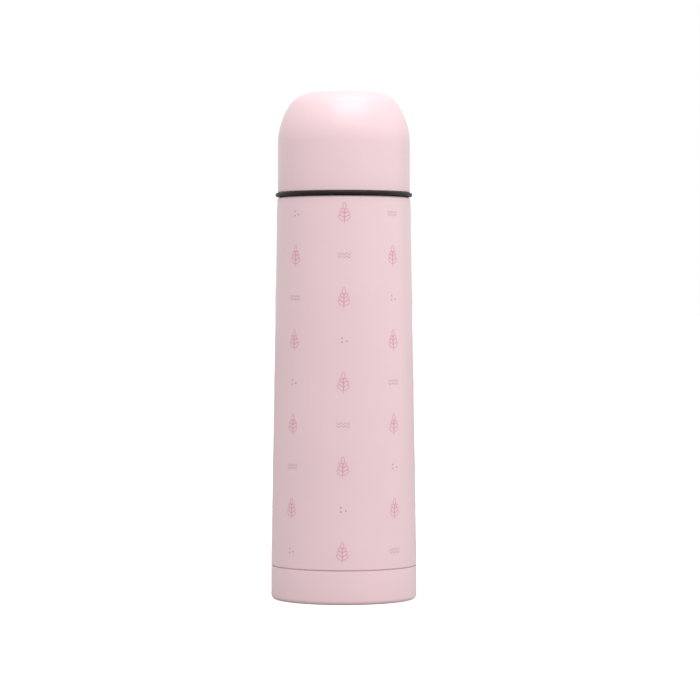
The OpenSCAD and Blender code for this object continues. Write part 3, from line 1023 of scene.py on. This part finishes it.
def valve_spring():
    """Round-wire coil with closed ends."""
    z0, z1 = low("valve_spring"), high("valve_spring")
    wire, coil, turns, dead = 0.45 * MM, 8 * MM, 6, 1
    dead_pitch = 2.1 * wire
    live = z1 - z0 - 2 * wire - 2 * dead * dead_pitch
    steps = turns * 48

    def centre(t):
        low_part, high_part = min(t, dead), max(0, t - turns + dead)
        share = (t - low_part - high_part) / (turns - 2 * dead)
        z = z0 + wire + dead_pitch * (low_part + high_part) + live * share
        return Vector((coil * math.cos(math.tau * t), coil * math.sin(math.tau * t), z))

    def across(i):
        a = math.tau * turns * i / steps
        return Vector((math.cos(a), math.sin(a), 0)), Vector((0, 0, 1))

    path = [centre(turns * i / steps) for i in range(steps + 1)]
    spring = piece("valve_spring_coil", [swept(path, across, 14, wire)], "stopper",
                   "spring_steel", ["valve_spring"])
    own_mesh(spring)


# ---------------------------------------------------------------- cup

CUP_R = outer_radius("cup_shell")
CUP_TOP = high("cup_shell")
CROWN_FLAT = CUP_R - 16.43 * MM      # radius at which the crown starts to bend down
CORNER_R = 13.2 * MM
CROWN_A = math.radians(87.5)
SIDE_A = math.radians(32.5)


def cup_side(inset):
    """Three arcs that meet smoothly, from the crown to the straight side, set in from the outside."""
    crown_r = CORNER_R + CROWN_FLAT / math.cos(CROWN_A)
    crown_z = CUP_TOP - crown_r
    corner_z = crown_z + CROWN_FLAT * math.tan(CROWN_A)
    side_r = (CUP_R - CROWN_FLAT - CORNER_R * math.cos(SIDE_A)) / (1 - math.cos(SIDE_A))
    side_x = CROWN_FLAT - (side_r - CORNER_R) * math.cos(SIDE_A)
    side_z = corner_z - (side_r - CORNER_R) * math.sin(SIDE_A)
    arcs = [
        (0, crown_z, crown_r, math.pi / 2, CROWN_A, 6),
        (CROWN_FLAT, corner_z, CORNER_R, CROWN_A, SIDE_A, 26),
        (side_x, side_z, side_r, SIDE_A, 0, 20),
    ]
    points = []
    for x, z, r, start, end, steps in arcs:
        for k in range(0 if not points else 1, steps + 1):
            a = start + (end - start) * k / steps
            points.append(Vector((x + (r - inset) * math.cos(a), z + (r - inset) * math.sin(a))))
    points[0].x = 0
    return points


def cup_wall(outer_inset, inner_inset, z_low, rounding):
    """Outline of one skin of the cup, with a rounded rim."""
    out_r, in_r = CUP_R - outer_inset, CUP_R - inner_inset
    middle = z_low + 8 * MM
    rim = rounded([
        (out_r, middle, 0), (out_r, z_low, rounding), (in_r, z_low, rounding), (in_r, middle, 0),
    ])
    return cup_side(outer_inset) + rim + list(reversed(cup_side(inner_inset)))


def cup_shell():
    """Drawn steel outside of the cup."""
    z0 = low("cup_shell")
    wall = radii_at("cup_shell", z0 + 4 * MM)
    outline = cup_wall(0, max(wall) - min(wall), z0, 0.2 * MM)
    piece("cup_shell_lacquered", [lathe(outline)], "cup", "pink_lacquer", ["cup_shell"])


def cup_liner():
    """Moulded inside of the cup, with the two ridges that take the collar's thread."""
    outer = CUP_R - outer_radius("cup_liner")
    thickness = 1.85 * MM
    inner = outer + thickness
    root = CUP_R - inner
    outline = cup_wall(outer, inner, low("cup_liner"), 0.4 * MM)
    shape = threaded(root, root - 1.6 * MM, CUP_THREAD_Z, CUP_LEAD, CUP_THREAD_TURNS,
                     starts=2, start_a=-math.pi / 2)
    piece("cup_liner_moulded", [lathe(rows_along(outline, root), shape=shape)], "cup",
          "black_plastic", ["cup_liner"])


# ---------------------------------------------------------------- stage

WHITE = (1.0, 1.0, 1.0, 1.0)
FLOOR_GLOW = 0.75
AMBIENT = 0.88
CAMERA_PLACE = (0.0029, -1.342, 0.139)
CAMERA_TIP = math.radians(0.9)
LENS_MM = 145.3


def floor():
    """Large pale floor. A glow that only the camera sees carries it into the white behind."""
    size = 30
    mesh = bpy.data.meshes.new("floor")
    mesh.from_pydata([(-size, -size, 0), (size, -size, 0), (size, size, 0), (-size, size, 0)],
                     [], [(0, 1, 2, 3)])
    obj = bpy.data.objects.new("floor", mesh)
    bpy.context.scene.collection.objects.link(obj)
    s = Shader("pale_floor", Roughness=0.9)
    s.tint(s.noise(3, 2), (0.48, 0.48, 0.48, 1), (0.52, 0.52, 0.52, 1))
    s.bsdf.inputs["Emission Color"].default_value = WHITE
    to_camera = s.node("ShaderNodeLightPath").outputs["Is Camera Ray"]
    s.link(s.ranged(to_camera, 0, FLOOR_GLOW, 0, 1), s.bsdf.inputs["Emission Strength"])
    mesh.materials.append(s.material)


def softbox(name, place, aim, width, height, power):
    """Rectangular light, in metres and watts, that the camera can't see."""
    data = bpy.data.lights.new(name, "AREA")
    data.shape = "RECTANGLE"
    data.size, data.size_y = width, height
    data.energy = power
    obj = bpy.data.objects.new(name, data)
    obj.location = place
    direction = Vector(aim) - Vector(place)
    obj.rotation_euler = direction.to_track_quat("-Z", "Y").to_euler()
    obj.visible_camera = False
    bpy.context.scene.collection.objects.link(obj)


def lights():
    middle = (0, 0, 0.13)
    crown = (0, 0, 0.22)
    softbox("key_right", (1.15, -0.95, 0.45), middle, 1.2, 1.4, 1.43)
    softbox("side_right", (1.3, 0.05, 0.35), middle, 1.0, 1.2, 2.12)
    softbox("top_front", (0.15, -0.85, 1.2), (0, 0, 0.2), 1.1, 0.9, 4.39)
    softbox("over_crown", (0.05, -0.12, 0.62), crown, 0.4, 0.4, 0.95)


def surroundings(ambient):
    """White to the camera, softer as a light on the object."""
    world = bpy.data.worlds.new("studio")
    bpy.context.scene.world = world
    world.use_nodes = True
    tree = world.node_tree
    tree.nodes.clear()
    seen = tree.nodes.new("ShaderNodeBackground")
    seen.inputs["Color"].default_value = WHITE
    glow = tree.nodes.new("ShaderNodeBackground")
    glow.inputs["Color"].default_value = WHITE
    glow.inputs["Strength"].default_value = ambient
    path = tree.nodes.new("ShaderNodeLightPath")
    mix = tree.nodes.new("ShaderNodeMixShader")
    out = tree.nodes.new("ShaderNodeOutputWorld")
    tree.links.new(path.outputs["Is Camera Ray"], mix.inputs["Fac"])
    tree.links.new(glow.outputs["Background"], mix.inputs[1])
    tree.links.new(seen.outputs["Background"], mix.inputs[2])
    tree.links.new(mix.outputs["Shader"], out.inputs["Surface"])


def camera():
    """Long lens, level with the middle of the body, tipped down by less than a degree."""
    data = bpy.data.cameras.new("camera")
    data.sensor_width = 36
    data.lens = LENS_MM
    obj = bpy.data.objects.new("camera", data)
    obj.location = CAMERA_PLACE
    obj.rotation_euler = (math.radians(90) - CAMERA_TIP, 0, 0)
    data.clip_start, data.clip_end = 0.05, 80
    bpy.context.scene.collection.objects.link(obj)
    bpy.context.scene.camera = obj


# ---------------------------------------------------------------- build

paint_frame()
outer_shell()
base_cap()
inner_vessel()
reflective_foil()
bottom_plate()
vacuum_seal()
getter()
neck_collar()
soft_ring("collar_seal_ring", "collar_seal", "flask", "black_rubber", NECK_R + 1.7 * MM, 0.15 * MM)
soft_ring("cup_seal_ring", "cup_seal", "cup_ring", "clear_silicone",
          outer_radius("cup_seal") - 1.65 * MM, 0.3 * MM)
printed_pattern()
stopper_body()
stopper_cover()
stopper_gasket()
push_button()
valve_plunger()
valve_seal()
valve_spring()
cup_shell()
cup_liner()

floor()
lights()
surroundings(AMBIENT)
camera()
bpy.context.scene.view_settings.view_transform = "Standard"
